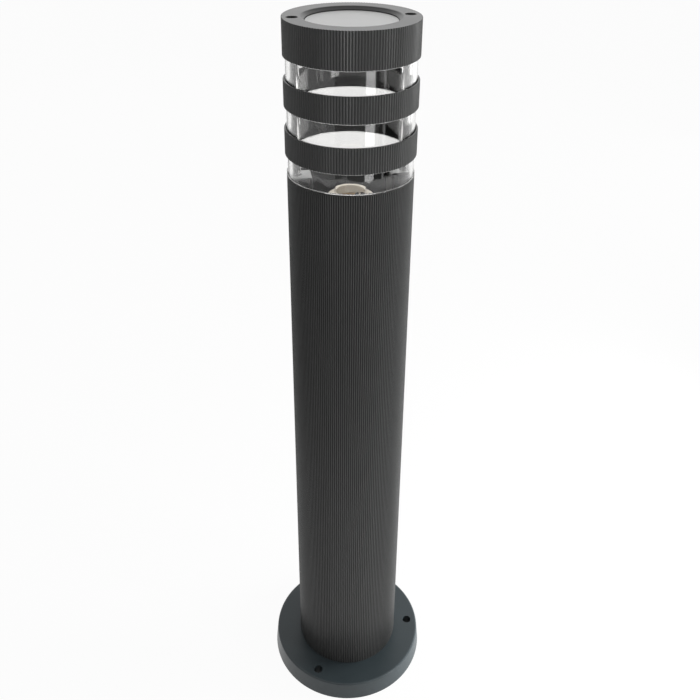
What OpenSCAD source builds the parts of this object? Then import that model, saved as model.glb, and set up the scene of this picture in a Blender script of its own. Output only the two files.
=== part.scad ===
// Garden post light: a round bollard with a fluted aluminium column, a clear
// lens tube between louvre rings, a solid cap and a cast flange for the ground.
// Millimetres, +Z up, origin at the centre of the foot, on the ground.

/* [Ground flange] */
// Diameter of the flange at its top edge
flange_top_d = 181; // [176:1:196]
// Diameter of the flange at the ground, larger by the casting draft
flange_foot_d = 185; // [182:1:200]
// Height of the flange from the ground to the foot of the column
flange_h = 23; // [20:0.5:30]
// Radius on the top edge of the flange
flange_edge_r = 2.2; // [1:0.1:4]
// Thickness of the flange's top plate
plate_t = 6; // [5:0.5:9]
// Thickness of the flange's outer skirt
skirt_t = 5; // [3.5:0.5:6.5]
// Thickness of the ribs under the plate
rib_t = 4; // [3:0.5:6]
// Gap between the ribs and the ground
rib_lift = 2; // [1:0.5:5]
// Outside diameter of the hub under the plate
hub_d = 44; // [42:1:56]
// Wall of the hub
hub_wall = 5; // [3:0.5:5.5]
// Height of the spigot that centres the column
spigot_h = 10; // [6:1:20]
// Wall of the spigot
spigot_wall = 4; // [3:0.5:6]

/* [Anchor holes] */
// Number of anchor holes in the flange
anchor_n = 3; // [3:1:4]
// Pitch circle diameter of the anchor holes
anchor_pcd = 156; // [152:1:160]
// Diameter of each anchor hole
anchor_d = 10.5; // [8.5:0.5:12]
// Wall of the boss round each anchor hole
anchor_boss_wall = 4.5; // [3:0.5:6]
// Turn of the first anchor hole from +X, in degrees
anchor_turn = 3; // [0:1:6]

/* [Column] */
// Diameter of the column over its flutes
column_d = 121.5; // [118:0.5:125]
// Length of the column extrusion
column_l = 630.8; // [430:0.1:830]
// Wall of the column from the crest of a flute to the bore
column_wall = 3; // [2.5:0.1:4]
// Number of flutes round the column
column_flutes = 174; // [150:2:190]
// Depth of the column's flutes
column_flute_t = 0.6; // [0.4:0.05:0.9]
// Share of the pitch that is the flat crest between two flutes
flute_crest = 0.12; // [0.08:0.01:0.3]
// Share of the pitch that is the flat floor of a flute
flute_floor = 0.12; // [0.08:0.01:0.3]

/* [Screw ports] */
// Number of screw ports inside the column, an even number
port_n = 4; // [2:2:4]
// Outside diameter of a screw port
port_d = 9.6; // [9:0.1:10.4]
// Distance from the column's bore to the centre of a port
port_inset = 5.05; // [4.9:0.05:5.8]
// Width of the slit along each port
port_slit = 2; // [1.5:0.1:3]
// Turn of the first port and of the head's screws from +X, in degrees
port_turn = 9.5; // [8:0.5:12]

/* [Rings and gaps] */
// Height of each louvre ring
ring_h = 24.4; // [20:0.1:30]
// Clear height of each lit gap
gap_h = 21.4; // [18:0.1:28]
// Wall of the rings and of the cap's skirt over their flutes
ring_wall = 2.05; // [1.7:0.05:3]
// Number of flutes round the rings and the cap
ring_flutes = 150; // [130:2:170]
// Depth of the flutes on the rings and the cap
ring_flute_t = 0.7; // [0.4:0.05:0.9]
// Radial clearance of the rings and the cap over the lens
ring_fit = 0.2; // [0.1:0.05:0.3]

/* [Lens] */
// Inset of the lens's foot from the crests of the column
foot_inset = 0.25; // [0.1:0.05:0.6]
// Lip of the foot proud of the lens wall
foot_lip = 0.7; // [0.4:0.05:1]
// Thickness of the foot
foot_t = 1.4; // [1:0.1:3]
// Wall of the lens tube
lens_wall = 3; // [2.4:0.1:3.6]
// Wall of the lens's two screw channels
channel_wall = 2.5; // [2:0.1:3]
// Radius of the bead under each ring and under the cap
bead_r = 0.5; // [0.3:0.05:0.6]
// Thickness of the flat seal under the lens
lower_seal_t = 1; // [0.8:0.1:1.5]
// Thickness of the seal on top of the lens
upper_seal_t = 1.5; // [1:0.1:2.5]

/* [Cap] */
// Height of the cap
cap_h = 33.2; // [28:0.1:45]
// Depth of the dish from the cap's top face to the disc
dish_depth = 3.6; // [2.5:0.1:5]
// Width of the dish's sloping wall, seen from above
dish_slope = 4.9; // [3.5:0.1:7]
// Land between the dish and the screw recesses
dish_land = 1.1; // [0.6:0.1:2]
// Thickness of the pale disc
disc_t = 1; // [0.8:0.1:1.5]
// Thickness of the cap's web under the disc
web_t = 3; // [2.5:0.1:4]
// Radial clearance round the disc
disc_fit = 0.2; // [0.1:0.05:0.4]

/* [Fasteners] */
// Diameter of the long clamp screws and of the base screws
screw_d = 5; // [4:0.5:5]
// Diameter of a screw's button head
head_d = 9.5; // [8.5:0.1:9.8]
// Height of a screw's button head
head_h = 2.8; // [2.4:0.1:3]
// Width across flats of the head's hexagon socket
socket_af = 3; // [2.5:0.5:4]
// Outside diameter of a flat washer
washer_d = 10; // [9.9:0.1:10.2]
// Thickness of a flat washer
washer_t = 1; // [0.8:0.1:1.2]
// Diameter of the recess for a head and its washer
recess_d = 10.5; // [10.3:0.1:11]
// Depth of a head's top below the cap
head_sink = 1.5; // [0.4:0.1:2]
// Diametral clearance of a screw in its hole
screw_clear = 0.5; // [0.4:0.1:0.8]
// Diametral clearance of a screw in its port
thread_clear = 0.1; // [0.06:0.02:0.2]
// Length of a clamp screw inside its port
clamp_grip = 20; // [12:1:40]
// Length of a base screw inside its port
base_grip = 13; // [8:1:25]

/* [Cable entry] */
// Diameter of the hole that holds the grommet
grommet_hole_d = 26; // [22:1:28]
// Diameter of the grommet's cable hole
cable_d = 11; // [8:0.5:13]
// Lip of the grommet on both faces of the plate
grommet_lip = 3; // [2:0.5:3.5]
// Thickness of the grommet's two lips
grommet_lip_t = 2.5; // [1.5:0.5:4]

/* [Bracket] */
// Thickness of the bracket's steel strip
strip_t = 1; // [0.8:0.1:1.5]
// Width of the bracket's strip
strip_w = 20; // [18:0.5:24]
// Inside radius of the bracket's bends
bend_r = 1.5; // [1:0.1:2.5]
// Room between the lampholder and each leg of the bracket
leg_room = 13.75; // [11:0.25:15]

/* [Lampholder] */
// Diameter of the porcelain body
holder_d = 47.5; // [45:0.5:50]
// Diameter of the collar round the socket
collar_d = 38; // [36:0.5:40]
// Height of the collar above the shoulder
collar_h = 4; // [3:0.5:6]
// Width of the collar over its two flats
collar_flat_w = 30.6; // [29.6:0.2:34]
// Turn of the collar's flats from the fixing screws, in degrees
flat_turn = -9.5; // [-15:0.5:15]
// Whole height of the porcelain body
holder_h = 51.5; // [49:0.5:56]
// Depth of the socket's rim below the column's top
holder_sink = 18.6; // [12:0.1:30]
// Radius on the body's shoulder
shoulder_r = 3; // [2:0.5:4]
// Outside diameter of the threaded shell
shell_d = 28; // [27.6:0.1:28.6]
// Wall of the threaded shell
shell_wall = 0.5; // [0.4:0.1:0.8]
// Height of the threaded shell
shell_h = 19.5; // [17:0.5:21]
// Depth of the shell's rim below the collar
shell_sink = 8; // [6:0.5:9]
// Pitch of the two fixing screws
holder_pitch = 22; // [20:0.5:24]
// Diameter of the fixing screws
holder_screw_d = 4; // [3:0.5:4]
// Length of a fixing screw inside the porcelain
holder_grip = 7; // [5:0.5:9]

/* [Terminal block] */
// Distance between two poles of the terminal block
pole_pitch = 11.5; // [11:0.1:12]
// Width of one pole of the block
pole_w = 8; // [7.5:0.1:9]
// Length of the block along the wires
block_l = 17; // [16:0.5:19]
// Height of the block
block_h = 13; // [12:0.5:15]
// Height of the webs that join the poles
block_web = 4; // [3:0.5:5]
// Side of the square brass inserts
insert_a = 5; // [4.6:0.1:5.4]
// Diameter of an insert's wire hole
insert_bore = 3.2; // [3:0.1:3.4]
// Diameter of the small clamping screws
grub_d = 2.6; // [2.2:0.1:2.8]
// Diameter over the insulation of the inner leads
lead_d = 2.4; // [2:0.1:2.6]

/* [Hidden] */
$fn = 96;
wide_fn = 360;

// Heights of the stack, from the ground up
column_z = flange_h;
column_top_z = column_z + column_l;
lower_ring_z = column_top_z + gap_h;
upper_ring_z = lower_ring_z + ring_h + gap_h;
cap_z = upper_ring_z + ring_h + gap_h;
total_h = cap_z + cap_h;

// Column and its ports
bore_r = column_d / 2 - column_wall;
screw_r = bore_r - port_inset;
port_step = 360 / port_n;
port_bore_d = screw_d + thread_clear;
port_web_w = port_d / 2;

// Lens, rings and cap, each fitted over the last
foot_r = column_d / 2 - foot_inset;
lens_r = foot_r - foot_lip;
lens_bore_r = lens_r - lens_wall;
ring_bore_r = lens_r + ring_fit;
ring_r = ring_bore_r + ring_wall;
lens_z = column_top_z + lower_seal_t;
cap_web_t = dish_depth + disc_t + web_t;
web_z = total_h - cap_web_t;
lens_top_z = web_z - upper_seal_t;
channel_bore_d = screw_d + 2 * screw_clear;
channel_d = channel_bore_d + 2 * channel_wall;
clear_hole_d = screw_d + screw_clear;

// Dish in the cap's top
dish_r = screw_r - recess_d / 2 - dish_land;
disc_seat_r = dish_r - dish_slope;
disc_r = disc_seat_r - disc_fit;
recess_depth = head_sink + head_h + washer_t;
pocket_wall = 1.5;
pocket_roof_t = 3;
boss_wall = 2;

// Ground flange
plate_z = flange_h - plate_t;
spigot_fit = 0.3;
spigot_r = screw_r - port_d / 2 - spigot_fit;
pillar_wall = 2.2;
pillar_lift = 4;
rib_n = 2 * anchor_n;
grommet_fit = 0.2;

// Bracket: the strip hangs from the port tops and crosses under the lampholder
leg_x = holder_d / 2 + leg_room + strip_t;
holder_z = column_top_z - holder_sink - holder_h;
strip_z = holder_z - strip_t;
ear_z = column_top_z;
ear_fit = 0.3;
ear_r = min(lens_bore_r, bore_r) - ear_fit;

// Lampholder
socket_fit = 0.3;
socket_r = shell_d / 2 + socket_fit;
ledge_z = holder_h - shell_sink - shell_h;
well_r = 10;
well_depth = 6;
base_taper = 2.2;
base_h = 12;
taper_h = 4;
collar_edge_r = 1.4;
flat_edge = 1.2;
shell_neck_h = 4;
shell_neck_in = 2;
blind_extra = 1;
holder_head_d = 7;
holder_head_h = 2.4;
clip_x = 8;
clip_y = 6;
clip_z = 9;
clip_in = 14;
clip_room = 1;
clip_pad = 0.4;
grub_head_d = 5;
grub_head_t = 1.6;

// Contact tongue
tongue_w = 6;
tongue_t = 0.6;
tongue_l = 13;
tongue_rise = 8;

// Terminal block and earth point
block_x = 25.5;
block_top_z = strip_z;
bore_drop = 7;
pole_z = block_top_z - bore_drop;
insert_fit = 0.15;
insert_inset = 1.5;
grub_spread = 4.2;
grub_l = 4.6;
grub_well_d = 4.2;
fix_d = 3;
fix_head_d = 5.2;
fix_head_h = 1.8;
earth_x = -25.5;
earth_d = 4;
earth_head_d = 7.5;
earth_head_h = 2.6;
tag_t = 0.8;
tag_d = 8.4;
tooth_t = 0.8;
lead_fit = 0.3;
lead_sides = 8;
lead_steps = 5;

// One point at radius r and angle a
function polar(r, a) = [r * cos(a), r * sin(a)];

// Points of an arc about c, from angle a0 to a1, in n steps
function arc(c, r, a0, a1, n = 6) =
    [for (i = [0:n]) c + polar(r, a0 + (a1 - a0) * i / n)];

// Outline of a fluted round: each pitch has a flat crest, two flanks and a floor
function fluted(r, n, depth) =
    [for (i = [0:n - 1], corner = [
            [-flute_crest / 2, r],
            [flute_crest / 2, r],
            [0.5 - flute_floor / 2, r - depth],
            [0.5 + flute_floor / 2, r - depth]
        ]) polar(corner[1], (i + corner[0]) * 360 / n)];

// Places children at each of the column's ports
module at_ports(step = port_step) {
    for (a = [0:step:359])
        rotate([0, 0, port_turn + a])
            translate([screw_r, 0, 0])
                children();
}

// Places children in the head's frame, with its X axis through the clamp screws
module in_head() {
    rotate([0, 0, port_turn])
        children();
}

// A tube from z0 to z1
module tube(r_out, r_in, z0, z1) {
    translate([0, 0, z0])
        difference() {
            cylinder(r = r_out, h = z1 - z0);
            translate([0, 0, -1])
                cylinder(r = r_in, h = z1 - z0 + 2);
        }
}

// A screw pointing down from the underside of its head, at the origin
module button_screw(d, length, head, height, flats) {
    edge = height * 0.55;
    difference() {
        union() {
            translate([0, 0, -length])
                cylinder(d = d, h = length + height / 2);
            rotate_extrude()
                polygon(concat(
                    [[0, 0], [head / 2, 0]],
                    arc([head / 2 - edge, height - edge], edge, 0, 90),
                    [[0, height]]
                ));
        }
        translate([0, 0, height * 0.4])
            cylinder(d = flats / cos(30), h = height, $fn = 6);
    }
}

// Cast foot: plate and skirt, hub, ribs, anchor bosses, screw pillars and spigot
module base_flange() {
    top_r = flange_top_d / 2;
    foot_wide_r = flange_foot_d / 2;
    inner_top_r = top_r - skirt_t;
    inner_foot_r = foot_wide_r - skirt_t;
    boss_d = anchor_d + 2 * anchor_boss_wall;
    pillar_d = recess_d + 2 * pillar_wall;
    color([0.2, 0.21, 0.22])
        difference() {
            union() {
                difference() {
                    rotate_extrude()
                        polygon(concat(
                            [[0, 0], [foot_wide_r, 0]],
                            arc([top_r - flange_edge_r, flange_h - flange_edge_r],
                                flange_edge_r, 0, 90),
                            [[0, flange_h]]
                        ));
                    rotate_extrude()
                        polygon([
                            [0, -1], [inner_foot_r, -1], [inner_foot_r, 0],
                            [inner_top_r, plate_z], [0, plate_z]
                        ]);
                }
                tube(hub_d / 2, hub_d / 2 - hub_wall, 0, plate_z + 1);
                for (i = [0:rib_n - 1])
                    rotate([0, 0, anchor_turn + i * 360 / rib_n])
                        translate([hub_d / 2 - hub_wall / 2, -rib_t / 2, rib_lift])
                            cube([inner_top_r - hub_d / 2 + hub_wall / 2 + 1, rib_t, plate_z]);
                for (i = [0:anchor_n - 1])
                    rotate([0, 0, anchor_turn + i * 360 / anchor_n])
                        translate([anchor_pcd / 2, 0, 0])
                            cylinder(d = boss_d, h = plate_z + 1);
                at_ports()
                    translate([0, 0, pillar_lift])
                        cylinder(d = pillar_d, h = plate_z - pillar_lift + 1);
                tube(spigot_r, spigot_r - spigot_wall, flange_h - 1, flange_h + spigot_h);
            }
            for (i = [0:anchor_n - 1])
                rotate([0, 0, anchor_turn + i * 360 / anchor_n])
                    translate([anchor_pcd / 2, 0, -1])
                        cylinder(d = anchor_d, h = flange_h + 2);
            at_ports() {
                translate([0, 0, -1])
                    cylinder(d = recess_d, h = plate_z + 1);
                cylinder(d = clear_hole_d, h = flange_h + 1);
            }
            translate([0, 0, -1])
                cylinder(d = grommet_hole_d, h = flange_h + 2);
        }
}

// Screws that draw the column down on to the flange, from beneath
module base_screws() {
    color("silver")
        at_ports()
            translate([0, 0, plate_z - washer_t])
                mirror([0, 0, 1])
                    button_screw(screw_d, washer_t + plate_t + base_grip, head_d, head_h, socket_af);
}

module base_washers() {
    color("silver")
        at_ports()
            tube(washer_d / 2, clear_hole_d / 2, plate_z - washer_t, plate_z);
}

// Rubber grommet for the supply cable, snapped into the plate
module cable_grommet() {
    neck_r = grommet_hole_d / 2 - grommet_fit;
    lip_r = grommet_hole_d / 2 + grommet_lip;
    color([0.08, 0.08, 0.08])
        rotate_extrude()
            polygon([
                [cable_d / 2, plate_z - grommet_lip_t],
                [lip_r, plate_z - grommet_lip_t],
                [lip_r, plate_z],
                [neck_r, plate_z],
                [neck_r, flange_h],
                [lip_r, flange_h],
                [lip_r - 1, flange_h + grommet_lip_t],
                [cable_d / 2, flange_h + grommet_lip_t]
            ]);
}

// Section of the column: fluted wall and C-shaped screw ports
module column_section() {
    difference() {
        union() {
            difference() {
                polygon(fluted(column_d / 2, column_flutes, column_flute_t));
                circle(r = bore_r, $fn = wide_fn);
            }
            at_ports() {
                circle(d = port_d);
                translate([0, -port_web_w / 2])
                    square([bore_r - screw_r + column_wall / 2, port_web_w]);
            }
        }
        at_ports() {
            circle(d = port_bore_d);
            translate([-port_d, -port_slit / 2])
                square([port_d, port_slit]);
        }
    }
}

module column_tube() {
    color([0.2, 0.21, 0.22])
        translate([0, 0, column_z])
            linear_extrude(column_l)
                column_section();
}

// Flat gasket between the column's end and the lens
module lower_seal() {
    color([0.06, 0.06, 0.06])
        tube(foot_r, bore_r, column_top_z, lens_z);
}

// Clear moulding: tube, foot, three beads and two inner screw channels
module lens_tube() {
    color([0.85, 0.92, 0.95, 0.4])
        difference() {
            union() {
                rotate_extrude() {
                    translate([lens_bore_r, lens_z])
                        square([lens_wall, lens_top_z - lens_z]);
                    translate([lens_bore_r, lens_z])
                        square([foot_r - lens_bore_r, foot_t]);
                    for (z = [lower_ring_z, upper_ring_z, cap_z])
                        translate([lens_r, z - bead_r])
                            circle(r = bead_r, $fn = 24);
                }
                at_ports(180)
                    translate([0, 0, ear_z + strip_t]) {
                        cylinder(d = channel_d, h = lens_top_z - ear_z - strip_t);
                        translate([0, -channel_wall, 0])
                            cube([
                                lens_r - screw_r - lens_wall / 2,
                                2 * channel_wall,
                                lens_top_z - ear_z - strip_t
                            ]);
                    }
            }
            at_ports(180)
                translate([0, 0, column_z])
                    cylinder(d = channel_bore_d, h = total_h);
        }
}

// Louvre ring cut from a fluted tube
module louvre_ring(z) {
    color([0.2, 0.21, 0.22])
        translate([0, 0, z])
            linear_extrude(ring_h)
                difference() {
                    polygon(fluted(ring_r, ring_flutes, ring_flute_t));
                    circle(r = ring_bore_r, $fn = wide_fn);
                }
}

module lower_ring() {
    louvre_ring(lower_ring_z);
}

module upper_ring() {
    louvre_ring(upper_ring_z);
}

module upper_seal() {
    color([0.06, 0.06, 0.06])
        tube(lens_r, lens_bore_r, lens_top_z, web_z);
}

// Outline of the dish that is cut into the cap: a rounded lip, a slope and a seat
function dish_outline() =
    let (
        lip_r = dish_slope * 0.45,
        toe_r = dish_slope * 0.3,
        seat_z = -dish_depth
    )
    concat(
        [[0, 1], [dish_r + 0.01, 1], [dish_r + 0.01, 0]],
        arc([dish_r, -lip_r], lip_r, 90, 150, 5),
        arc([disc_seat_r + toe_r, seat_z + toe_r], toe_r, 210, 270, 4),
        [
            [disc_seat_r, seat_z],
            [disc_seat_r, seat_z - disc_t],
            [0, seat_z - disc_t]
        ]
    );

// Cast cap: fluted skirt over the lens, dished top and two screw recesses
module cap() {
    boss_d = clear_hole_d + 2 * boss_wall + 2;
    color([0.2, 0.21, 0.22])
        difference() {
            translate([0, 0, cap_z])
                linear_extrude(cap_h)
                    polygon(fluted(ring_r, ring_flutes, ring_flute_t));
            translate([0, 0, cap_z - 1])
                cylinder(r = ring_bore_r, h = web_z - cap_z + 1, $fn = wide_fn);
            translate([0, 0, total_h])
                rotate_extrude()
                    polygon(dish_outline());
            difference() {
                tube(
                    lens_bore_r - 1,
                    dish_r + pocket_wall,
                    web_z - 1,
                    total_h - pocket_roof_t
                );
                at_ports(180)
                    translate([0, 0, web_z - 2])
                        cylinder(d = boss_d + 2 * boss_wall, h = cap_h);
            }
            at_ports(180) {
                translate([0, 0, total_h - recess_depth])
                    cylinder(d = recess_d, h = recess_depth + 1);
                translate([0, 0, web_z - 1])
                    cylinder(d = clear_hole_d, h = cap_web_t);
            }
        }
}

module cap_disc() {
    color([0.76, 0.77, 0.77])
        translate([0, 0, total_h - dish_depth - disc_t])
            cylinder(r = disc_r, h = disc_t);
}

// Long screws that clamp cap, lens and bracket on to the column
module clamp_screws() {
    seat_z = total_h - recess_depth + washer_t;
    color("silver")
        at_ports(180)
            translate([0, 0, seat_z])
                button_screw(screw_d, seat_z - column_top_z + clamp_grip, head_d, head_h, socket_af);
}

module clamp_washers() {
    seat_z = total_h - recess_depth;
    color("silver")
        at_ports(180)
            tube(washer_d / 2, clear_hole_d / 2, seat_z, seat_z + washer_t);
}

// Half of the bracket's bent strip as a flat outline: half floor, leg and ear
module strip_half() {
    out_r = bend_r + strip_t;
    leg_in = leg_x - strip_t;
    leg_top = ear_z - bend_r;
    leg_foot = strip_z + out_r;
    translate([0, strip_z])
        square([leg_in - bend_r, strip_t]);
    intersection() {
        translate([leg_in - bend_r, leg_foot])
            difference() {
                circle(r = out_r);
                circle(r = bend_r);
            }
        translate([leg_in - bend_r, strip_z])
            square([out_r, out_r]);
    }
    translate([leg_in, leg_foot])
        square([strip_t, leg_top - leg_foot]);
    intersection() {
        translate([leg_x + bend_r, leg_top])
            difference() {
                circle(r = out_r);
                circle(r = bend_r);
            }
        translate([leg_in, leg_top])
            square([out_r, out_r]);
    }
    translate([leg_x + bend_r, ear_z])
        square([ear_r - leg_x, strip_t]);
}

module lampholder_bracket() {
    color("lightgray")
        in_head()
            difference() {
                intersection() {
                    rotate([90, 0, 0])
                        translate([0, 0, -strip_w / 2])
                            linear_extrude(strip_w) {
                                strip_half();
                                mirror([1, 0])
                                    strip_half();
                            }
                    translate([0, 0, strip_z - 1])
                        cylinder(r = ear_r, h = ear_z - strip_z + 4);
                }
                for (side = [-1, 1]) {
                    translate([side * screw_r, 0, ear_z - 1])
                        cylinder(d = clear_hole_d, h = strip_t + 2);
                    translate([side * holder_pitch / 2, 0, strip_z - 1])
                        cylinder(d = holder_screw_d + screw_clear, h = strip_t + 2);
                }
                translate([block_x, pole_pitch / 2, strip_z - 1])
                    cylinder(d = fix_d + thread_clear, h = strip_t + 2);
                translate([earth_x, 0, strip_z - 1])
                    cylinder(d = earth_d + thread_clear, h = strip_t + 2);
            }
}

// Room cut beside one flat of the collar, with a bevel along the flat's top edge
module collar_flat() {
    rotate([90, 0, 0])
        translate([0, 0, -collar_d / 2])
            linear_extrude(collar_d)
                polygon([
                    [0, 0], [collar_d / 2, 0], [collar_d / 2, collar_h + 1],
                    [-flat_edge - 1, collar_h + 1], [0, collar_h - flat_edge]
                ]);
}

// Porcelain body: tapered base, shoulder, flatted collar, socket and contact well
module lampholder_body() {
    r = holder_d / 2;
    shoulder_z = holder_h - collar_h;
    color([0.87, 0.82, 0.72])
        in_head()
            translate([0, 0, holder_z])
                difference() {
                    rotate_extrude()
                        polygon(concat(
                            [[0, 0], [r - base_taper, 0], [r - base_taper, base_h], [r, base_h + taper_h]],
                            arc([r - shoulder_r, shoulder_z - shoulder_r], shoulder_r, 0, 90),
                            [[collar_d / 2, shoulder_z]],
                            arc([collar_d / 2 - collar_edge_r, holder_h - collar_edge_r],
                                collar_edge_r, 0, 90),
                            [
                                [socket_r, holder_h],
                                [socket_r, ledge_z],
                                [well_r, ledge_z],
                                [well_r, ledge_z - well_depth],
                                [0, ledge_z - well_depth]
                            ]
                        ));
                    rotate([0, 0, flat_turn])
                        for (side = [0, 180])
                            rotate([0, 0, side])
                                translate([collar_flat_w / 2, 0, shoulder_z])
                                    collar_flat();
                    for (side = [-1, 1]) {
                        translate([side * holder_pitch / 2, 0, -1])
                            cylinder(
                                d = holder_screw_d + thread_clear,
                                h = holder_grip + blind_extra + 1
                            );
                        translate([
                            -clip_x / 2 - clip_room,
                            side > 0 ? clip_in : -clip_in - r,
                            -1
                        ])
                            cube([clip_x + 2 * clip_room, r, clip_z + clip_room + 1]);
                    }
                }
}

// Brass shell of the lamp socket, necked in at its foot
module lampholder_shell() {
    r = shell_d / 2;
    neck_r = r - shell_neck_in;
    lip_r = neck_r - 1.5;
    color("goldenrod")
        translate([0, 0, holder_z + ledge_z])
            rotate_extrude()
                polygon([
                    [lip_r, 0], [neck_r, 0], [r, shell_neck_h],
                    [r, shell_h], [r - shell_wall, shell_h],
                    [r - shell_wall, shell_neck_h + shell_wall / 4],
                    [neck_r - shell_wall, shell_wall], [lip_r, shell_wall]
                ]);
}

// Sprung centre contact on the floor of the well
module lampholder_contact() {
    floor_z = holder_z + ledge_z - well_depth;
    half = tongue_l / 2;
    color("goldenrod")
        in_head()
            translate([0, tongue_w / 2, floor_z])
                rotate([90, 0, 0])
                    linear_extrude(tongue_w)
                        polygon([
                            [-half, 0], [half, 0], [half, tongue_t],
                            [tongue_t - half, tongue_t],
                            [half * 0.5, tongue_rise], [half * 0.5, tongue_rise + tongue_t],
                            [half * 0.2, tongue_rise + tongue_t], [-half, 2 * tongue_t]
                        ]);
}

// Brass clamps for the leads, one in each side pocket of the porcelain
module lampholder_terminals() {
    color("goldenrod")
        in_head()
            for (side = [-1, 1])
                translate([0, side * (clip_in + clip_y / 2), holder_z + clip_room])
                    difference() {
                        translate([-clip_x / 2, -clip_y / 2, 0])
                            cube([clip_x, clip_y, clip_z]);
                        translate([0, 0, -1])
                            cylinder(d = insert_bore, h = clip_z - 1);
                        rotate([90, 0, 0])
                            translate([0, clip_z / 2, side > 0 ? -clip_y : 0])
                                cylinder(d = grub_d + thread_clear, h = clip_y);
                    }
}

// Screws that close the lampholder's clamps on the leads
module lampholder_terminal_screws() {
    tip = lead_d / 2 + clip_pad;
    color("silver")
        in_head()
            for (side = [-1, 1])
                translate([0, side * (clip_in + clip_y / 2), holder_z + clip_room + clip_z / 2])
                    rotate([-side * 90, 0, 0])
                        translate([0, 0, tip]) {
                            cylinder(d = grub_d, h = clip_y / 2 - tip + grub_head_t);
                            translate([0, 0, clip_y / 2 - tip])
                                cylinder(d = grub_head_d, h = grub_head_t);
                        }
}

// Screws that hold the porcelain on the bracket, from beneath
module lampholder_screws() {
    color("silver")
        in_head()
            for (side = [-1, 1])
                translate([side * holder_pitch / 2, 0, strip_z])
                    mirror([0, 0, 1])
                        button_screw(
                            holder_screw_d,
                            strip_t + holder_grip,
                            holder_head_d,
                            holder_head_h,
                            socket_af
                        );
}

// Moulded strip of three poles under the bracket
module terminal_block() {
    span = 2 * pole_pitch + pole_w;
    color("white")
        in_head()
            translate([block_x, 0, block_top_z - block_h])
                difference() {
                    union() {
                        for (i = [-1:1])
                            translate([-block_l / 2, i * pole_pitch - pole_w / 2, 0])
                                cube([block_l, pole_w, block_h]);
                        translate([-block_l / 4, -span / 2, block_h - block_web])
                            cube([block_l / 2, span, block_web]);
                    }
                    for (i = [-1:1]) {
                        translate([
                            -block_l,
                            i * pole_pitch - insert_a / 2 - insert_fit,
                            block_h - bore_drop - insert_a / 2 - insert_fit
                        ])
                            cube([2 * block_l, insert_a + 2 * insert_fit, insert_a + 2 * insert_fit]);
                        for (end = [-1, 1])
                            translate([end * grub_spread, i * pole_pitch, -1])
                                cylinder(d = grub_well_d, h = block_h - bore_drop + 1);
                    }
                    translate([0, pole_pitch / 2, -1]) {
                        cylinder(d = fix_d + screw_clear, h = block_h + 2);
                        cylinder(d = fix_head_d + 2 * insert_fit, h = block_h - block_web + 1);
                    }
                }
}

// Brass inserts of the block, each with a wire hole and two tapped holes
module terminal_inserts() {
    length = block_l - 2 * insert_inset;
    color("goldenrod")
        in_head()
            for (i = [-1:1])
                translate([block_x, i * pole_pitch, pole_z])
                    difference() {
                        translate([-length / 2, -insert_a / 2, -insert_a / 2 - insert_fit])
                            cube([length, insert_a, insert_a]);
                        rotate([0, 90, 0])
                            translate([0, 0, -length])
                                cylinder(d = insert_bore, h = 2 * length);
                        for (end = [-1, 1])
                            translate([end * grub_spread, 0, -insert_a])
                                cylinder(d = grub_d + thread_clear, h = insert_a);
                    }
}

module terminal_screws() {
    color("silver")
        in_head()
            for (i = [-1:1], end = [-1, 1])
                translate([
                    block_x + end * grub_spread,
                    i * pole_pitch,
                    pole_z - lead_d / 2 - grub_l
                ])
                    difference() {
                        cylinder(d = grub_d, h = grub_l);
                        translate([-grub_d, -0.3, -1])
                            cube([2 * grub_d, 0.6, 1.8]);
                    }
}

// Screw that holds the block on the bracket, from beneath
module terminal_fixing_screw() {
    web_under_z = block_top_z - block_web;
    color("silver")
        in_head()
            translate([block_x, pole_pitch / 2, web_under_z])
                mirror([0, 0, 1])
                    button_screw(fix_d, block_web + strip_t, fix_head_d, fix_head_h, 2);
}

// Points of a smooth curve through the given route
function knot(p, i) = p[min(max(i, 0), len(p) - 1)];
function spline_point(p, i, t) =
    let (a = knot(p, i - 1), b = knot(p, i), c = knot(p, i + 1), d = knot(p, i + 2))
    0.5 * (2 * b + (c - a) * t + (2 * a - 5 * b + 4 * c - d) * t * t
        + (3 * b - a - 3 * c + d) * t * t * t);
function smooth(p) = concat(
    [for (i = [0:len(p) - 2], k = [0:lead_steps - 1]) spline_point(p, i, k / lead_steps)],
    [p[len(p) - 1]]
);
function unit(v) = v / norm(v);
function heading(p, i) = unit(knot(p, i + 1) - knot(p, i - 1));
function ring_at(p, i, r) =
    let (
        ahead = heading(p, i),
        side = unit(cross(ahead, [0.31, 0.95, 0.05])),
        up = cross(side, ahead)
    )
    [for (k = [0:lead_sides - 1])
        p[i] + r * (cos(k * 360 / lead_sides) * side + sin(k * 360 / lead_sides) * up)];

// Insulated lead swept along a route, in the head's frame
module lead(route) {
    path = smooth(route);
    n = len(path);
    in_head()
        polyhedron(
            points = [for (i = [0:n - 1], q = ring_at(path, i, lead_d / 2)) q],
            faces = concat(
                [[for (k = [0:lead_sides - 1]) k]],
                [for (i = [0:n - 2], k = [0:lead_sides - 1])
                    let (
                        a = i * lead_sides + k,
                        b = i * lead_sides + (k + 1) % lead_sides
                    )
                    [a, a + lead_sides, b + lead_sides, b]],
                [[for (k = [lead_sides - 1:-1:0]) (n - 1) * lead_sides + k]]
            )
        );
}

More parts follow.
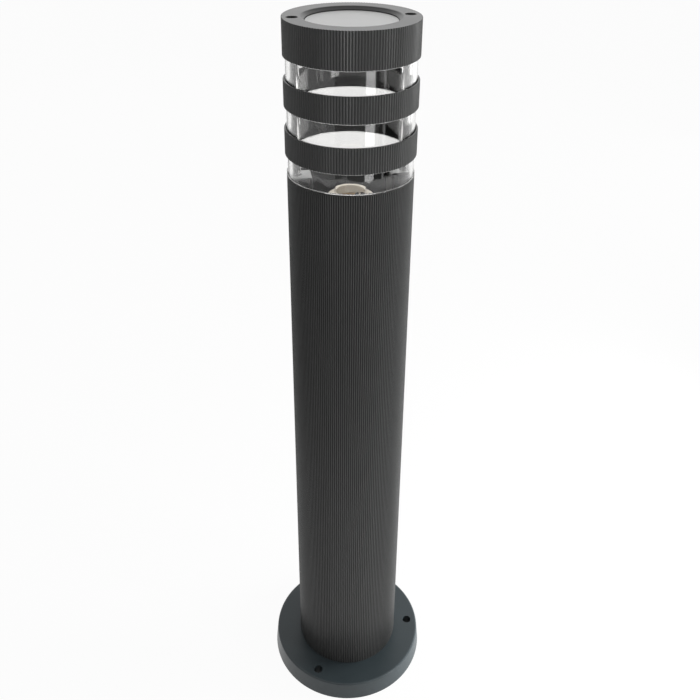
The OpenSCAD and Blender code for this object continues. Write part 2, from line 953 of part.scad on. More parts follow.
// Routes of the leads, from the block's near side to where each one ends
block_near_x = block_x - block_l / 2;
clamp_y = clip_in + clip_y / 2;
lead_in = insert_inset + 3;
function holder_route(side) = [
    [block_near_x + lead_in, side * pole_pitch, pole_z],
    [block_near_x, side * pole_pitch, pole_z],
    [block_near_x - 5, side * (pole_pitch + 0.5), pole_z - 1.5],
    [block_near_x - 12, side * (clamp_y - 3), pole_z - 2],
    [3, side * (clamp_y - 0.5), pole_z + 0.5],
    [0, side * clamp_y, strip_z],
    [0, side * clamp_y, holder_z + clip_room + clip_z - 3]
];
function earth_route() = [
    [block_near_x + lead_in, 0, pole_z],
    [block_near_x, 0, pole_z],
    [block_near_x - 6, 0, pole_z - 2],
    [0, 0, pole_z - 3],
    [earth_x + 12, 0, pole_z - 1],
    [earth_x + tag_d / 2 + 5, 0, strip_z - tooth_t - tag_t - lead_d / 2 - 0.6],
    [earth_x + tag_d / 2 + 1, 0, strip_z - tooth_t - tag_t - lead_d / 2]
];

module live_lead() {
    color("saddlebrown")
        lead(holder_route(1));
}

module neutral_lead() {
    color("steelblue")
        lead(holder_route(-1));
}

module earth_lead() {
    color("yellowgreen")
        lead(earth_route());
}

// Ring tag on the earth lead, with its barrel pressed flat on the lead
module earth_tag() {
    tag_z = strip_z - tooth_t - tag_t;
    color("silver")
        in_head()
            translate([earth_x, 0, tag_z])
                difference() {
                    union() {
                        cylinder(d = tag_d, h = tag_t);
                        translate([0, -lead_d / 2, 0])
                            cube([tag_d / 2 + 6, lead_d, tag_t]);
                    }
                    translate([0, 0, -1])
                        cylinder(d = earth_d + screw_clear, h = tag_t + 2);
                }
}

module earth_washer() {
    teeth = 12;
    color("silver")
        in_head()
            translate([earth_x, 0, strip_z - tooth_t])
                linear_extrude(tooth_t)
                    difference() {
                        polygon([for (i = [0:2 * teeth - 1])
                            polar(i % 2 == 0 ? tag_d / 2 : tag_d / 2 - 0.8, i * 180 / teeth)]);
                        circle(d = earth_d + screw_clear);
                    }
}

module earth_screw() {
    under_z = strip_z - tooth_t - tag_t;
    color("silver")
        in_head()
            translate([earth_x, 0, under_z])
                mirror([0, 0, 1])
                    button_screw(
                        earth_d,
                        tooth_t + tag_t + strip_t + 2,
                        earth_head_d,
                        earth_head_h,
                        socket_af
                    );
}

base_flange();
base_screws();
base_washers();
cable_grommet();
column_tube();
lower_seal();
lens_tube();
lower_ring();
upper_ring();
upper_seal();
cap();
cap_disc();
clamp_screws();
clamp_washers();
lampholder_bracket();
lampholder_body();
lampholder_shell();
lampholder_contact();
lampholder_terminals();
lampholder_terminal_screws();
lampholder_screws();
terminal_block();
terminal_inserts();
terminal_screws();
terminal_fixing_screw();
live_lead();
neutral_lead();
earth_lead();
earth_tag();
earth_washer();
earth_screw();
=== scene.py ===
"""Looks of the garden post light: coat, lens, porcelain, metals, studio and camera."""

import math

import bpy
from mathutils import Matrix, Vector


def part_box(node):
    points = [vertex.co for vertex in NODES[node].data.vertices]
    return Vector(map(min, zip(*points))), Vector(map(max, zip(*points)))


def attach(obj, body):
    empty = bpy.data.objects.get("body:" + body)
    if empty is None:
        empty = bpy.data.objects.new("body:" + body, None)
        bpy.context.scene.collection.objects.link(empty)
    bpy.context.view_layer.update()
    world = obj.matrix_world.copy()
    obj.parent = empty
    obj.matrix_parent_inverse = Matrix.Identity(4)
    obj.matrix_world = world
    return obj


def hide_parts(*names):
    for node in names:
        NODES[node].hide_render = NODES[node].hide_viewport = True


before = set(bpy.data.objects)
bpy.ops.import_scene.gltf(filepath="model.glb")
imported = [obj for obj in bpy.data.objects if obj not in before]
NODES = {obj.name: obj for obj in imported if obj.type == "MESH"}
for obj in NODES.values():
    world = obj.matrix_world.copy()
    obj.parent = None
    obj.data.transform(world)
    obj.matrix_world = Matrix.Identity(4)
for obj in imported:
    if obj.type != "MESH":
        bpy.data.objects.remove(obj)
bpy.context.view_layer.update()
BODY = "root"
MM = 0.001
WHITE = (1.0, 1.0, 1.0, 1.0)


def place_camera():
    """The photograph's viewpoint: above the head, looking down at the whole post."""
    place = Vector((0.0, -0.7348, 0.9445))
    pitch_down = math.radians(27.82)
    roll = math.radians(0.44)
    lens_mm = 42.27
    lift = -0.1258

    ahead = Vector((0.0, math.cos(pitch_down), -math.sin(pitch_down)))
    right = Vector((1.0, 0.0, 0.0))
    up = right.cross(ahead)
    turn = Matrix((right, up, -ahead)).transposed().to_4x4() @ Matrix.Rotation(roll, 4, "Z")

    data = bpy.data.cameras.new("camera")
    data.sensor_width = 36.0
    data.lens = lens_mm
    data.shift_y = lift
    data.clip_start = 0.01
    camera = bpy.data.objects.new("camera", data)
    bpy.context.scene.collection.objects.link(camera)
    camera.matrix_world = Matrix.Translation(place) @ turn
    bpy.context.scene.camera = camera


class Nodes:
    """A node tree with short calls to add nodes and to link them."""

    def __init__(self, tree):
        self.tree = tree

    def add(self, kind, **inputs):
        """Adds a node; keywords that name a property set it, the others set an input."""
        node = self.tree.nodes.new(kind)
        for key, value in inputs.items():
            if hasattr(node, key):
                setattr(node, key, value)
            else:
                node.inputs[key.replace("_", " ")].default_value = value
        return node

    def link(self, out_socket, in_socket):
        self.tree.links.new(out_socket, in_socket)

    def math(self, operation, a, b=0.0):
        """A Math node on two numbers or sockets; returns its result socket."""
        node = self.tree.nodes.new("ShaderNodeMath")
        node.operation = operation
        for slot, value in enumerate((a, b)):
            if isinstance(value, (int, float)):
                node.inputs[slot].default_value = value
            else:
                self.link(value, node.inputs[slot])
        return node.outputs[0]


def new_group(name, inputs, outputs):
    """An empty shader group with float inputs {name: default} and float outputs [name]."""
    tree = bpy.data.node_groups.new(name, "ShaderNodeTree")
    for label, default in inputs.items():
        socket = tree.interface.new_socket(label, in_out="INPUT", socket_type="NodeSocketFloat")
        socket.default_value = default
    for label in outputs:
        tree.interface.new_socket(label, in_out="OUTPUT", socket_type="NodeSocketFloat")
    nodes = Nodes(tree)
    return nodes, nodes.add("NodeGroupInput"), nodes.add("NodeGroupOutput")


def grain_group():
    """Two sizes of noise on Object coordinates: a fine grain and a slow mottle."""
    nodes, given, result = new_group(
        "surface_grain",
        {"Grain Size": 0.5 * MM, "Mottle Size": 60 * MM},
        ["Grain", "Mottle"],
    )
    place = nodes.add("ShaderNodeTexCoord")
    for size, out, detail in (("Grain Size", "Grain", 2.0), ("Mottle Size", "Mottle", 4.0)):
        noise = nodes.add("ShaderNodeTexNoise", Detail=detail, Roughness=0.5)
        nodes.link(place.outputs["Object"], noise.inputs["Vector"])
        nodes.link(nodes.math("DIVIDE", 1.0, given.outputs[size]), noise.inputs["Scale"])
        nodes.link(noise.outputs["Fac"], result.inputs[out])
    return nodes.tree


def draw_line_group():
    """Lines of drawing and rolling: a noise stretched along the post's axis."""
    nodes, given, result = new_group(
        "draw_lines",
        {"Line Width": 0.6 * MM, "Stretch": 60.0},
        ["Lines"],
    )
    place = nodes.add("ShaderNodeTexCoord")
    split = nodes.add("ShaderNodeSeparateXYZ")
    nodes.link(place.outputs["Object"], split.inputs[0])
    squeeze = nodes.add("ShaderNodeCombineXYZ")
    nodes.link(split.outputs["X"], squeeze.inputs["X"])
    nodes.link(split.outputs["Y"], squeeze.inputs["Y"])
    nodes.link(nodes.math("DIVIDE", split.outputs["Z"], given.outputs["Stretch"]), squeeze.inputs["Z"])
    noise = nodes.add("ShaderNodeTexNoise", Detail=3.0, Roughness=0.6)
    nodes.link(squeeze.outputs[0], noise.inputs["Vector"])
    nodes.link(nodes.math("DIVIDE", 1.0, given.outputs["Line Width"]), noise.inputs["Scale"])
    nodes.link(noise.outputs["Fac"], result.inputs["Lines"])
    return nodes.tree


GRAIN = grain_group()
DRAW_LINES = draw_line_group()


# Mask for painted shade: the dark bores of the tubes and the floor under the foot.
def inner_wall_group():
    """A mask that is 1 inside the tubes: nearer the axis than Radius and under Ceiling."""
    nodes, given, result = new_group(
        "inner_wall",
        {"Radius": 60.3 * MM, "Edge": 0.1 * MM, "Ceiling": 790 * MM},
        ["Inside"],
    )
    place = nodes.add("ShaderNodeTexCoord")
    split = nodes.add("ShaderNodeSeparateXYZ")
    nodes.link(place.outputs["Object"], split.inputs[0])
    x_squared = nodes.math("MULTIPLY", split.outputs["X"], split.outputs["X"])
    y_squared = nodes.math("MULTIPLY", split.outputs["Y"], split.outputs["Y"])
    reach = nodes.math("SQRT", nodes.math("ADD", x_squared, y_squared))
    mask = nodes.add("ShaderNodeMapRange", To_Min=1.0, To_Max=0.0)
    nodes.link(reach, mask.inputs["Value"])
    nodes.link(given.outputs["Radius"], mask.inputs["From Min"])
    nodes.link(nodes.math("ADD", given.outputs["Radius"], given.outputs["Edge"]), mask.inputs["From Max"])
    under = nodes.math("LESS_THAN", split.outputs["Z"], given.outputs["Ceiling"])
    nodes.link(nodes.math("MULTIPLY", mask.outputs["Result"], under), result.inputs["Inside"])
    return nodes.tree


INNER_WALL = inner_wall_group()


def finish_material(
    name, tones, roughness, grain_mm, mottle_mm, bump_mm=0.0, speckle=0.0, lines=0.0, inner=None,
    **shader
):
    """A procedural finish: colour between two tones, roughness that varies, fine bump.

    tones is (dark, light), roughness is (least, most), speckle and lines are the shares of
    the grain and of the draw lines in the mottle, inner is (radius in mm, tone, roughness) of
    a painted shade inside a tube, a dark matt skin where its bore lies in shade, and shader
    holds values for the Principled shader's sockets.
    """
    material = bpy.data.materials.new(name)
    material.use_nodes = True
    tree = material.node_tree
    tree.nodes.clear()
    nodes = Nodes(tree)
    output = nodes.add("ShaderNodeOutputMaterial")
    principled = nodes.add("ShaderNodeBsdfPrincipled")
    for label, value in shader.items():
        principled.inputs[label.replace("_", " ")].default_value = value
    nodes.link(principled.outputs[0], output.inputs["Surface"])

    grain = nodes.add("ShaderNodeGroup", node_tree=GRAIN)
    grain.inputs["Grain Size"].default_value = grain_mm * MM
    grain.inputs["Mottle Size"].default_value = mottle_mm * MM
    mottle = grain.outputs["Mottle"]
    if speckle:
        dusted = nodes.add("ShaderNodeMix", data_type="FLOAT", Factor=speckle)
        nodes.link(mottle, dusted.inputs["A"])
        nodes.link(grain.outputs["Grain"], dusted.inputs["B"])
        mottle = dusted.outputs["Result"]
    if lines:
        drawn = nodes.add("ShaderNodeGroup", node_tree=DRAW_LINES)
        both = nodes.add("ShaderNodeMix", data_type="FLOAT", Factor=lines)
        nodes.link(mottle, both.inputs["A"])
        nodes.link(drawn.outputs["Lines"], both.inputs["B"])
        mottle = both.outputs["Result"]

    tone = nodes.add("ShaderNodeMix", data_type="RGBA")
    tone.inputs["A"].default_value = (*tones[0], 1.0)
    tone.inputs["B"].default_value = (*tones[1], 1.0)
    nodes.link(mottle, tone.inputs["Factor"])
    colour = tone.outputs["Result"]

    sheen = nodes.add("ShaderNodeMapRange", To_Min=roughness[0], To_Max=roughness[1])
    nodes.link(mottle, sheen.inputs["Value"])
    gloss = sheen.outputs["Result"]

    # Painted shade: inside the tube colour and roughness give way to a near-black matt skin, standing in
    # for the shade in its bore.
    if inner:
        wall = nodes.add("ShaderNodeGroup", node_tree=INNER_WALL)
        wall.inputs["Radius"].default_value = inner[0] * MM
        plain = nodes.add("ShaderNodeMix", data_type="RGBA")
        plain.inputs["B"].default_value = (*inner[1], 1.0)
        matt = nodes.add("ShaderNodeMix", data_type="FLOAT")
        matt.inputs["B"].default_value = inner[2]
        nodes.link(wall.outputs["Inside"], plain.inputs["Factor"])
        nodes.link(wall.outputs["Inside"], matt.inputs["Factor"])
        nodes.link(colour, plain.inputs["A"])
        nodes.link(gloss, matt.inputs["A"])
        colour = plain.outputs["Result"]
        gloss = matt.outputs["Result"]

    nodes.link(colour, principled.inputs["Base Color"])
    nodes.link(gloss, principled.inputs["Roughness"])

    if bump_mm:
        bump = nodes.add("ShaderNodeBump", Strength=1.0, Distance=bump_mm * MM)
        nodes.link(grain.outputs["Grain"], bump.inputs["Height"])
        nodes.link(bump.outputs["Normal"], principled.inputs["Normal"])
    return material


def extrusion_coat():
    """Satin powder coat on the column, rings and cap, nearly black, with faint draw lines; inside the
    tubes a painted shade, a near-black matt skin.
    """
    return finish_material(
        "extrusion_coat",
        tones=((0.036, 0.037, 0.037), (0.057, 0.058, 0.057)),
        roughness=(0.28, 0.42),
        grain_mm=0.6,
        mottle_mm=45,
        bump_mm=0.018,
        speckle=0.4,
        lines=0.3,
        # painted shade: the bores inside radius 60.3 mm are darkened to near black and matt
        inner=(60.3, (0.006, 0.006, 0.006), 0.8),
        Specular_IOR_Level=0.36,
    )


def casting_coat():
    """The same coat on the cast foot, with a coarser skin; its cooler tint is a painted reflection of
    cool light on the flange top, laid over the whole foot.
    """
    return finish_material(
        "casting_coat",
        # the blue-green lean of these tones is a painted reflection of cool light from above
        tones=((0.021, 0.029, 0.033), (0.038, 0.05, 0.055)),
        roughness=(0.26, 0.46),
        grain_mm=0.9,
        mottle_mm=30,
        bump_mm=0.05,
        speckle=0.45,
        Specular_IOR_Level=0.42,
    )


def clear_polycarbonate():
    """Clear moulded tube with the faint long waves of its skin."""
    return finish_material(
        "clear_polycarbonate",
        tones=((0.985, 0.984, 0.978), (1.0, 0.998, 0.99)),
        roughness=(0.0, 0.02),
        grain_mm=26,
        mottle_mm=30,
        bump_mm=0.12,
        Transmission_Weight=1.0,
        IOR=1.58,
    )


def black_oxide():
    """Blackened steel of the two long screws."""
    return finish_material(
        "black_oxide",
        tones=((0.006, 0.006, 0.007), (0.014, 0.014, 0.015)),
        roughness=(0.32, 0.5),
        grain_mm=0.4,
        mottle_mm=5,
        bump_mm=0.01,
        Metallic=0.3,
    )


def pale_disc():
    """Matt anodised disc in the dish of the cap."""
    return finish_material(
        "pale_disc",
        tones=((0.74, 0.745, 0.74), (0.91, 0.91, 0.9)),
        roughness=(0.34, 0.5),
        grain_mm=0.5,
        mottle_mm=18,
        bump_mm=0.02,
        speckle=0.55,
        Specular_IOR_Level=0.5,
    )


def glazed_porcelain():
    """Cream porcelain under a thin glaze."""
    return finish_material(
        "glazed_porcelain",
        tones=((0.78, 0.71, 0.6), (0.88, 0.83, 0.74)),
        roughness=(0.2, 0.34),
        grain_mm=1.6,
        mottle_mm=14,
        bump_mm=0.03,
        speckle=0.3,
        Coat_Weight=0.4,
        Coat_Roughness=0.12,
    )


def rolled_brass():
    """Thin brass of the socket and the terminals."""
    return finish_material(
        "rolled_brass",
        tones=((0.62, 0.42, 0.17), (0.82, 0.62, 0.3)),
        roughness=(0.24, 0.42),
        grain_mm=0.6,
        mottle_mm=9,
        bump_mm=0.01,
        Metallic=1.0,
    )


def zinc_plate():
    """Zinc-plated steel of the screws and the bracket."""
    return finish_material(
        "zinc_plate",
        tones=((0.46, 0.47, 0.48), (0.66, 0.66, 0.65)),
        roughness=(0.3, 0.5),
        grain_mm=0.5,
        mottle_mm=7,
        bump_mm=0.01,
        Metallic=1.0,
    )


def tinned_copper():
    """Dull tin over the copper tag."""
    return finish_material(
        "tinned_copper",
        tones=((0.6, 0.56, 0.5), (0.74, 0.71, 0.67)),
        roughness=(0.3, 0.5),
        grain_mm=0.5,
        mottle_mm=4,
        bump_mm=0.01,
        Metallic=1.0,
    )


def black_rubber():
    """Soft black rubber of the seals and the grommet."""
    return finish_material(
        "black_rubber",
        tones=((0.012, 0.012, 0.012), (0.028, 0.028, 0.027)),
        roughness=(0.6, 0.8),
        grain_mm=0.4,
        mottle_mm=15,
        bump_mm=0.03,
    )


def white_nylon():
    """Moulded body of the terminal block."""
    return finish_material(
        "white_nylon",
        tones=((0.68, 0.67, 0.63), (0.8, 0.79, 0.76)),
        roughness=(0.4, 0.55),
        grain_mm=0.5,
        mottle_mm=10,
        bump_mm=0.02,
    )


def lead_insulation(name, dark, light):
    """Soft plastic skin of one of the inner leads."""
    return finish_material(
        name,
        tones=(dark, light),
        roughness=(0.35, 0.5),
        grain_mm=0.8,
        mottle_mm=12,
        bump_mm=0.01,
    )


def dress_nodes():
    """Gives every solid of the model its finish."""
    coat = extrusion_coat()
    zinc = zinc_plate()
    brass = rolled_brass()
    rubber = black_rubber()
    black = black_oxide()
    clear = clear_polycarbonate()
    finishes = {
        coat: ("column_tube", "lower_ring", "upper_ring", "cap"),
        casting_coat(): ("base_flange",),
        black: ("clamp_screws",),
        clear: ("lens_tube",),
        pale_disc(): ("cap_disc",),
        glazed_porcelain(): ("lampholder_body",),
        brass: ("lampholder_shell", "lampholder_contact", "lampholder_terminals", "terminal_inserts"),
        zinc: (
            "base_screws", "base_washers", "clamp_washers",
            "lampholder_bracket", "lampholder_screws", "lampholder_terminal_screws",
            "terminal_screws", "terminal_fixing_screw", "earth_washer", "earth_screw",
        ),
        tinned_copper(): ("earth_tag",),
        rubber: ("cable_grommet", "lower_seal", "upper_seal"),
        white_nylon(): ("terminal_block",),
        lead_insulation(
            "brown_lead", dark=(0.1, 0.04, 0.018), light=(0.16, 0.065, 0.03)
        ): ("live_lead",),
        lead_insulation(
            "blue_lead", dark=(0.02, 0.12, 0.36), light=(0.04, 0.19, 0.5)
        ): ("neutral_lead",),
        lead_insulation(
            "earth_lead_skin", dark=(0.2, 0.42, 0.03), light=(0.42, 0.6, 0.04)
        ): ("earth_lead",),
    }
    for material, names in finishes.items():
        for name in names:
            NODES[name].material_slots[0].material = material
    make_fine_shapes(clear, brass, black)


def geometry_tree(name, inputs):
    """An empty geometry tree with named number inputs {name: default} and a Material input."""
    tree = bpy.data.node_groups.new(name, "GeometryNodeTree")
    for label, default in inputs.items():
        kind = "NodeSocketInt" if isinstance(default, int) else "NodeSocketFloat"
        socket = tree.interface.new_socket(label, in_out="INPUT", socket_type=kind)
        socket.default_value = default
    tree.interface.new_socket("Material", in_out="INPUT", socket_type="NodeSocketMaterial")
    tree.interface.new_socket("Geometry", in_out="OUTPUT", socket_type="NodeSocketGeometry")
    nodes = Nodes(tree)
    return nodes, nodes.add("NodeGroupInput"), nodes.add("NodeGroupOutput")


def end_tree(nodes, given, result, geometry):
    """Ends a geometry tree: instances made real, faces smooth, material set."""
    real = nodes.add("GeometryNodeRealizeInstances")
    smooth = nodes.add("GeometryNodeSetShadeSmooth")
    dressed = nodes.add("GeometryNodeSetMaterial")
    nodes.link(geometry, real.inputs[0])
    nodes.link(real.outputs[0], smooth.inputs[0])
    nodes.link(smooth.outputs[0], dressed.inputs["Geometry"])
    nodes.link(given.outputs["Material"], dressed.inputs["Material"])
    nodes.link(dressed.outputs[0], result.inputs[0])
    return nodes.tree


def grow(name, tree, material, wall=0.0):
    """Runs a geometry tree and keeps its result as a plain mesh that rides on the post."""
    piece = bpy.data.objects.new(name, bpy.data.meshes.new(name))
    bpy.context.scene.collection.objects.link(piece)
    modifier = piece.modifiers.new("grow", "NODES")
    modifier.node_group = tree
    for item in tree.interface.items_tree:
        if item.name == "Material":
            modifier[item.identifier] = material
    if wall:
        skin = piece.modifiers.new("wall", "SOLIDIFY")
        skin.thickness = wall
        skin.offset = 1.0
        skin.use_even_offset = False
    grown = bpy.data.meshes.new_from_object(piece.evaluated_get(bpy.context.evaluated_depsgraph_get()))
    piece.modifiers.clear()
    piece.data = grown
    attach(piece, BODY)
    return piece


def screw_thread_tree():
    """A helical ridge round each of the long screws, where the lens shows it."""
    low = 656.5 * MM
    high = 792.0 * MM
    pitch = 0.8 * MM
    nodes, given, result = geometry_tree(
        "long_screw_threads",
        {
            "Shank Radius": 2.5 * MM,
            "Ridge": 0.16 * MM,
            "Pitch": pitch,
            "Turns": float(round((high - low) / pitch)),
            "Foot Height": low,
            "Circle Radius": 52.7 * MM,
            "First Screw": math.radians(9.5),
            "Screws": 2,
        },
    )
    helix = nodes.add("GeometryNodeCurveSpiral", Resolution=20)
    nodes.link(given.outputs["Shank Radius"], helix.inputs["Start Radius"])
    nodes.link(given.outputs["Shank Radius"], helix.inputs["End Radius"])
    nodes.link(given.outputs["Turns"], helix.inputs["Rotations"])
    nodes.link(
        nodes.math("MULTIPLY", given.outputs["Turns"], given.outputs["Pitch"]),
        helix.inputs["Height"],
    )
    ridge = nodes.add("GeometryNodeCurvePrimitiveCircle", Resolution=4)
    nodes.link(given.outputs["Ridge"], ridge.inputs["Radius"])
    thread = nodes.add("GeometryNodeCurveToMesh")
    thread.inputs["Fill Caps"].default_value = True
    nodes.link(helix.outputs[0], thread.inputs["Curve"])
    nodes.link(ridge.outputs[0], thread.inputs["Profile Curve"])

    index = nodes.add("GeometryNodeInputIndex")
    step = nodes.math("DIVIDE", 2 * math.pi, given.outputs["Screws"])
    turn = nodes.math("ADD", nodes.math("MULTIPLY", index.outputs[0], step), given.outputs["First Screw"])
    place = nodes.add("ShaderNodeCombineXYZ")
    for axis, wave in (("X", "COSINE"), ("Y", "SINE")):
        reach = nodes.math("MULTIPLY", given.outputs["Circle Radius"], nodes.math(wave, turn))
        nodes.link(reach, place.inputs[axis])
    nodes.link(given.outputs["Foot Height"], place.inputs["Z"])
    points = nodes.add("GeometryNodePoints")
    nodes.link(given.outputs["Screws"], points.inputs["Count"])
    nodes.link(place.outputs[0], points.inputs["Position"])
    placed = nodes.add("GeometryNodeInstanceOnPoints")
    nodes.link(points.outputs[0], placed.inputs["Points"])
    nodes.link(thread.outputs[0], placed.inputs["Instance"])
    return end_tree(nodes, given, result, placed.outputs[0])


def socket_shell_tree():
    """The drawn shell of the lamp socket: a tube whose wall is rolled into a round thread."""
    low, high = (corner[2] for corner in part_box("lampholder_shell"))
    columns = 97
    rows = 64
    merge_gap = 0.01 * MM
    nodes, given, result = geometry_tree(
        "rolled_socket_shell",
        {
            "Crest Radius": 13.45 * MM,
            "Neck Radius": 11.2 * MM,
            "Thread Depth": 1.1 * MM,
            "Pitch": 3.63 * MM,
            "Foot Height": low,
            "Height": high - low,
            "Neck Height": 3.2 * MM,
        },
    )
    sheet = nodes.add("GeometryNodeMeshGrid")
    sheet.inputs["Size X"].default_value = 1.0
    sheet.inputs["Size Y"].default_value = 1.0
    sheet.inputs["Vertices X"].default_value = columns
    sheet.inputs["Vertices Y"].default_value = rows
    where = nodes.add("GeometryNodeInputPosition")
    split = nodes.add("ShaderNodeSeparateXYZ")
    nodes.link(where.outputs[0], split.inputs[0])
    turn = nodes.math("MULTIPLY", split.outputs["X"], 2 * math.pi)
    rise = nodes.math("MULTIPLY", nodes.math("ADD", split.outputs["Y"], 0.5), given.outputs["Height"])

    turns_up = nodes.math("DIVIDE", rise, given.outputs["Pitch"])
    phase = nodes.math("SUBTRACT", nodes.math("MULTIPLY", turns_up, 2 * math.pi), turn)
    dip = nodes.math("MULTIPLY", nodes.math("SUBTRACT", 1.0, nodes.math("COSINE", phase)), 0.5)
    fade = nodes.add("ShaderNodeMapRange", interpolation_type="SMOOTHSTEP")
    nodes.link(rise, fade.inputs["Value"])
    nodes.link(given.outputs["Height"], fade.inputs["From Min"])
    last_turn = nodes.math("SUBTRACT", given.outputs["Height"], given.outputs["Pitch"])
    nodes.link(last_turn, fade.inputs["From Max"])
    faded = nodes.math("MULTIPLY", dip, fade.outputs[0])
    rolled = nodes.math("MULTIPLY", faded, given.outputs["Thread Depth"])
    neck = nodes.add("ShaderNodeMapRange", interpolation_type="SMOOTHSTEP")
    nodes.link(rise, neck.inputs["Value"])
    nodes.link(given.outputs["Neck Height"], neck.inputs["From Max"])
    nodes.link(given.outputs["Neck Radius"], neck.inputs["To Min"])
    nodes.link(given.outputs["Crest Radius"], neck.inputs["To Max"])
    radius = nodes.math("SUBTRACT", neck.outputs[0], rolled)

    bent = nodes.add("ShaderNodeCombineXYZ")
    nodes.link(nodes.math("MULTIPLY", radius, nodes.math("COSINE", turn)), bent.inputs["X"])
    nodes.link(nodes.math("MULTIPLY", radius, nodes.math("SINE", turn)), bent.inputs["Y"])
    nodes.link(nodes.math("ADD", rise, given.outputs["Foot Height"]), bent.inputs["Z"])
    wrap = nodes.add("GeometryNodeSetPosition")
    nodes.link(sheet.outputs["Mesh"], wrap.inputs["Geometry"])
    nodes.link(bent.outputs[0], wrap.inputs["Position"])
    closed = nodes.add("GeometryNodeMergeByDistance")
    closed.inputs["Distance"].default_value = merge_gap
    nodes.link(wrap.outputs[0], closed.inputs["Geometry"])
    return end_tree(nodes, given, result, closed.outputs[0])


def foot_bead_tree():
    """The rounded edge of the lens's foot, which the solid leaves sharp: a thin bright line."""
    foot_top = 656.2 * MM
    nodes, given, result = geometry_tree(
        "lens_foot_bead",
        {
            "Ring Radius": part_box("lens_tube")[1][0] - 0.2 * MM,
            "Bead": 0.44 * MM,
            "Foot Top": foot_top,
        },
    )
    ring = nodes.add("GeometryNodeCurvePrimitiveCircle", Resolution=180)
    nodes.link(given.outputs["Ring Radius"], ring.inputs["Radius"])
    bead = nodes.add("GeometryNodeCurvePrimitiveCircle", Resolution=12)
    nodes.link(given.outputs["Bead"], bead.inputs["Radius"])
    edge = nodes.add("GeometryNodeCurveToMesh")
    nodes.link(ring.outputs[0], edge.inputs["Curve"])
    nodes.link(bead.outputs[0], edge.inputs["Profile Curve"])
    lift = nodes.add("ShaderNodeCombineXYZ")
    nodes.link(given.outputs["Foot Top"], lift.inputs["Z"])
    placed = nodes.add("GeometryNodeTransform")
    nodes.link(edge.outputs[0], placed.inputs["Geometry"])
    nodes.link(lift.outputs[0], placed.inputs["Translation"])
    return end_tree(nodes, given, result, placed.outputs[0])


def make_fine_shapes(clear, brass, black):
    """What the solids leave plain: the lens foot's edge and the screws' and socket's threads."""
    bead = grow("lens_foot_bead", foot_bead_tree(), clear)
    ridges = grow("long_screw_threads", screw_thread_tree(), black)
    shell = grow("rolled_socket_shell", socket_shell_tree(), brass, wall=0.4 * MM)
    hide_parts("lampholder_shell")


def seen_or_mirrored(nodes):
    """A mask that is 1 for what the camera sees, straight, mirrored or through glass."""
    path = nodes.add("ShaderNodeLightPath")
    mirrored = nodes.math("MAXIMUM", path.outputs["Is Glossy Ray"], path.outputs["Is Transmission Ray"])
    return nodes.math("MAXIMUM", path.outputs["Is Camera Ray"], mirrored)


def lay_floor():
    """A wide pale floor: white to the eye, with a soft share of the post's shadow.

    Under the foot its glow falls to a smaller share: a painted shade that lets the paper's real shadow
    show, lifted by the glow that stays, so the anchor holes look down on a darker floor.
    """
    half = 14.0
    white_share = 0.95
    foot_shade_glow_share = 0.3
    covered_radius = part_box("base_flange")[1][0] - 2 * MM
    paper_white = (0.86, 0.86, 0.86, 1.0)
    mesh = bpy.data.meshes.new("floor")
    corners = [(-half, -half, 0), (half, -half, 0), (half, half, 0), (-half, half, 0)]
    mesh.from_pydata(corners, [], [(0, 1, 2, 3)])
    floor = bpy.data.objects.new("floor", mesh)
    bpy.context.scene.collection.objects.link(floor)
    material = bpy.data.materials.new("pale_floor")
    material.use_nodes = True
    material.node_tree.nodes.clear()
    nodes = Nodes(material.node_tree)
    output = nodes.add("ShaderNodeOutputMaterial")
    paper = nodes.add("ShaderNodeBsdfDiffuse", Color=paper_white)
    glow = nodes.add("ShaderNodeEmission", Color=WHITE, Strength=1.0)
    blend = nodes.add("ShaderNodeMixShader")
    # painted shade: under the foot the floor's glow drops to the lower share
    foot_shade_mask = nodes.add("ShaderNodeGroup", node_tree=INNER_WALL)
    foot_shade_mask.inputs["Radius"].default_value = covered_radius
    lost = nodes.math("MULTIPLY", foot_shade_mask.outputs[0], white_share - foot_shade_glow_share)
    share = nodes.math("SUBTRACT", white_share, lost)
    nodes.link(nodes.math("MULTIPLY", seen_or_mirrored(nodes), share), blend.inputs[0])
    nodes.link(paper.outputs[0], blend.inputs[1])
    nodes.link(glow.outputs[0], blend.inputs[2])
    nodes.link(blend.outputs[0], output.inputs["Surface"])
    mesh.materials.append(material)


def light_world():
    """White beyond the floor, and a gentle even light from all round."""
    fill = 0.44
    world = bpy.data.worlds.new("studio")
    bpy.context.scene.world = world
    world.use_nodes = True
    world.node_tree.nodes.clear()
    nodes = Nodes(world.node_tree)
    output = nodes.add("ShaderNodeOutputWorld")
    background = nodes.add("ShaderNodeBackground", Color=WHITE)
    strength = nodes.add("ShaderNodeMapRange", To_Min=fill, To_Max=1.0)
    nodes.link(seen_or_mirrored(nodes), strength.inputs["Value"])
    nodes.link(strength.outputs["Result"], background.inputs["Strength"])
    nodes.link(background.outputs[0], output.inputs["Surface"])


def beside_post(azimuth, distance, height):
    """A place round the post: azimuth 0 is towards the camera, 90 is on its right."""
    turn = math.radians(azimuth)
    return (distance * math.sin(turn), -distance * math.cos(turn), height)


def soft_box(name, place, size, radiance, aim_height=0.45):
    """A rectangular lamp at place, turned to the post; size is (width, height)."""
    data = bpy.data.lights.new(name, "AREA")
    data.shape = "RECTANGLE"
    data.size, data.size_y = size
    data.energy = radiance * math.pi * size[0] * size[1]
    lamp = bpy.data.objects.new(name, data)
    bpy.context.scene.collection.objects.link(lamp)
    lamp.location = place
    lamp.rotation_mode = "QUATERNION"
    lamp.rotation_quaternion = (Vector((0, 0, aim_height)) - Vector(place)).to_track_quat("-Z", "Y")
    lamp.visible_camera = False
    return lamp


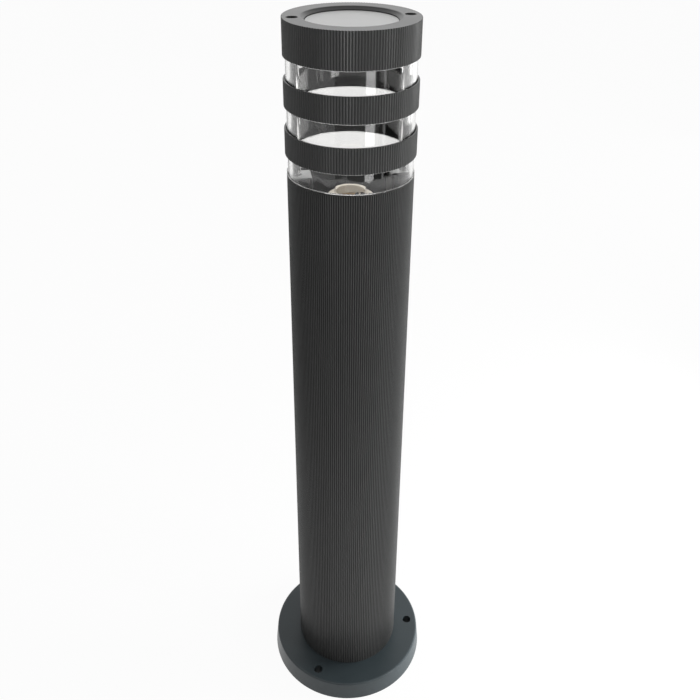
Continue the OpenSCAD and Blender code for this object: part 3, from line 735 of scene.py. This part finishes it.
def hang_inner_lamp():
    """Lights the lampholder: the daylight that a clear tube passes and shadow rays lose."""
    cone = math.radians(56)
    above_holder = 0.706
    data = bpy.data.lights.new("inner_lamp", "SPOT")
    data.spot_size = cone
    data.spot_blend = 0.3
    data.shadow_soft_size = 0.02
    data.energy = 0.19
    lamp = bpy.data.objects.new("inner_lamp", data)
    bpy.context.scene.collection.objects.link(lamp)
    lamp.location = (0, 0, above_holder)
    lamp.visible_camera = False
    lamp.visible_glossy = False
    lamp.visible_transmission = False


def hang_lamps():
    """A tall key lamp on the right, wide ones beside and behind, a low one at the foot.

    The low lamp lights surfaces alone, and the strip shows only where coat and lens mirror it.
    """
    soft_box("key_lamp", beside_post(63, 2.0, 0.63), size=(0.3, 0.64), radiance=21.0)
    soft_box("side_lamp", beside_post(122, 2.0, 0.8), size=(2.0, 1.6), radiance=0.9)
    soft_box("back_lamp", beside_post(180, 2.6, 1.5), size=(2.8, 1.0), radiance=0.52)
    low = soft_box(
        "low_lamp", beside_post(98, 0.8, 0.19), size=(0.5, 0.3), radiance=33.0, aim_height=0.12
    )
    low.visible_glossy = False
    low.visible_transmission = False
    strip = soft_box(
        "strip_lamp", beside_post(33, 1.5, 0.26), size=(0.42, 0.36), radiance=2.2, aim_height=0.3
    )
    strip.visible_diffuse = False
    hang_inner_lamp()


def make_card(name, azimuths, tone, edges):
    """A card that only mirrors see, round the post between two edges (radius, height)."""
    steps = 12
    first, last = azimuths
    points = []
    for radius, height in edges:
        for step in range(steps + 1):
            azimuth = first + (last - first) * step / steps
            points.append(beside_post(azimuth, radius, height))
    row = steps + 1
    faces = [(k, k + 1, k + row + 1, k + row) for k in range(steps)]
    mesh = bpy.data.meshes.new(name)
    mesh.from_pydata(points, [], faces)
    card = bpy.data.objects.new(name, mesh)
    bpy.context.scene.collection.objects.link(card)
    material = bpy.data.materials.new(name)
    material.use_nodes = True
    material.node_tree.nodes.clear()
    nodes = Nodes(material.node_tree)
    output = nodes.add("ShaderNodeOutputMaterial")
    clear = nodes.add("ShaderNodeBsdfTransparent")
    glow = nodes.add("ShaderNodeEmission", Color=WHITE, Strength=tone)
    path = nodes.add("ShaderNodeLightPath")
    blend = nodes.add("ShaderNodeMixShader")
    nodes.link(nodes.math("MINIMUM", path.outputs["Glossy Depth"], 1.0), blend.inputs[0])
    nodes.link(clear.outputs[0], blend.inputs[1])
    nodes.link(glow.outputs[0], blend.inputs[2])
    nodes.link(blend.outputs[0], output.inputs["Surface"])
    mesh.materials.append(material)
    card.visible_camera = False
    card.visible_diffuse = False
    card.visible_shadow = False
    card.visible_volume_scatter = False


def stand_card(name, azimuths, tone, height=0.8, radius=1.7):
    """A card that stands on the floor, bent round the post."""
    make_card(name, azimuths, tone, ((radius, 0.0), (radius, height)))


def lay_card(name, azimuths, tone, radii):
    """A card that lies on the floor."""
    lift = 0.002
    make_card(name, azimuths, tone, ((radii[0], lift), (radii[1], lift)))


def stand_cards():
    """The room as the lens mirrors it, from the left round to the right."""
    floor_reach = (0.5, 1.65)
    stand_card("grey_card", azimuths=(-103, -28), tone=0.64)
    stand_card("front_card", azimuths=(-28, 24), tone=0.27)
    stand_card("side_card", azimuths=(42, 57), tone=0.12)
    stand_card("dark_card", azimuths=(61, 93), tone=0.03)
    lay_card("grey_floor", azimuths=(-110, -10), tone=0.35, radii=floor_reach)
    lay_card("front_floor", azimuths=(-10, 100), tone=0.8, radii=floor_reach)


place_camera()
dress_nodes()
lay_floor()
light_world()
hang_lamps()
stand_cards()

bpy.context.scene.view_settings.view_transform = "Standard"
